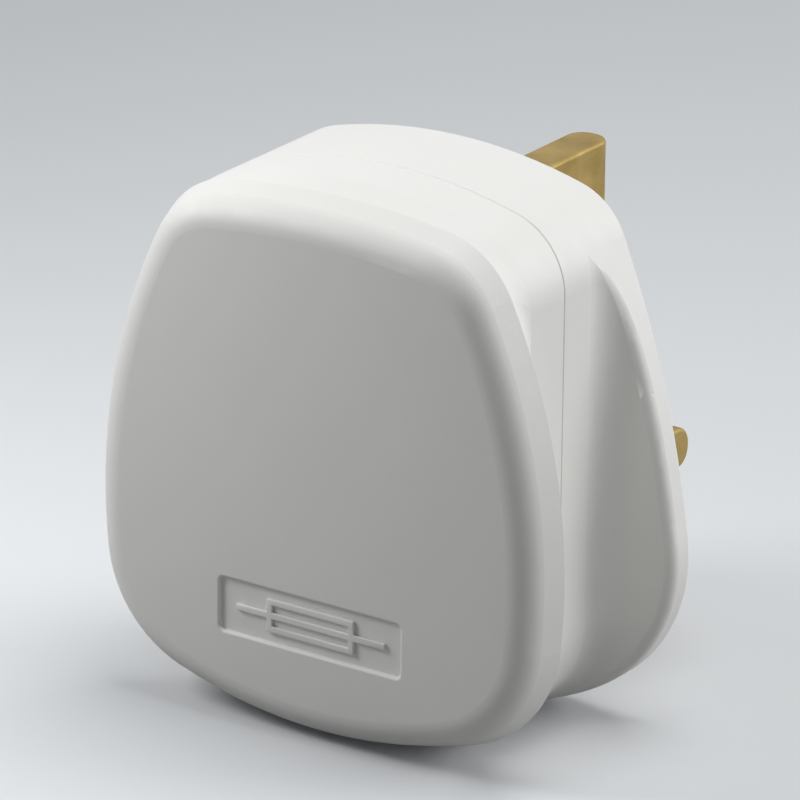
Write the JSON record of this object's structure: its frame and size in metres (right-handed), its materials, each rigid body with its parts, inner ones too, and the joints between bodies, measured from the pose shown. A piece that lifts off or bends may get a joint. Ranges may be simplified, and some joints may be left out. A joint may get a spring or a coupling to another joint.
{
  "type": "uk three pin plug",
  "caption": "Rewirable fused mains plug with a broad rounded front, finger grips in both sides, solid brass pins on the back, and terminals, fuse, clips and cord grip inside.",
  "frame": {"origin": "middle of the pin pattern on the flat engagement face, halfway in height between the earth pin's centre and the line through the live and neutral pins' centres", "axes": "+Y the way the pins point, into the socket; +Z towards the earth pin; +X towards the live pin, which is on the right when looking at the front of the cover"},
  "size_m": [0.0516, 0.046, 0.0521],
  "materials": {
    "white_plastic": "white thermoset plastic, satin with a fine moulded grain",
    "brass_pins": "solid brass, dull and lightly brushed along its length",
    "sleeve_plastic": "black insulating sleeve, satin",
    "spring_brass": "rolled sheet brass",
    "terminal_brass": "turned brass",
    "plated_caps": "plated, dull silver",
    "plated_steel": "zinc plated steel",
    "ceramic_tube": "unglazed ceramic",
    "quartz_sand": "packed quartz sand",
    "fibre": "vulcanised fibre",
    "grip_plastic": "moulded nylon"
  },
  "bodies": {
    "root": {"cover": "white_plastic", "base": "white_plastic", "earth_pin": "brass_pins", "live_pin": "brass_pins", "neutral_pin": "brass_pins", "live_pin_sleeve": "sleeve_plastic", "neutral_pin_sleeve": "sleeve_plastic", "lower_fuse_clip": "spring_brass", "upper_fuse_clip": "spring_brass", "live_terminal": "spring_brass", "clip_rivet": "spring_brass", "lower_fuse_cap": "plated_caps", "upper_fuse_cap": "plated_caps", "fuse_tube": "ceramic_tube", "fuse_sand": "quartz_sand", "fuse_wire": "plated_caps", "earth_terminal_screw": "terminal_brass", "neutral_terminal_screw": "terminal_brass", "live_terminal_screw": "terminal_brass", "cover_screw": "plated_steel", "cord_grip_screw_left": "plated_steel", "cord_grip_screw_right": "plated_steel", "retaining_washer": "fibre", "cover_insert": "terminal_brass", "cord_grip": "grip_plastic"}
  },
  "joints": []
}
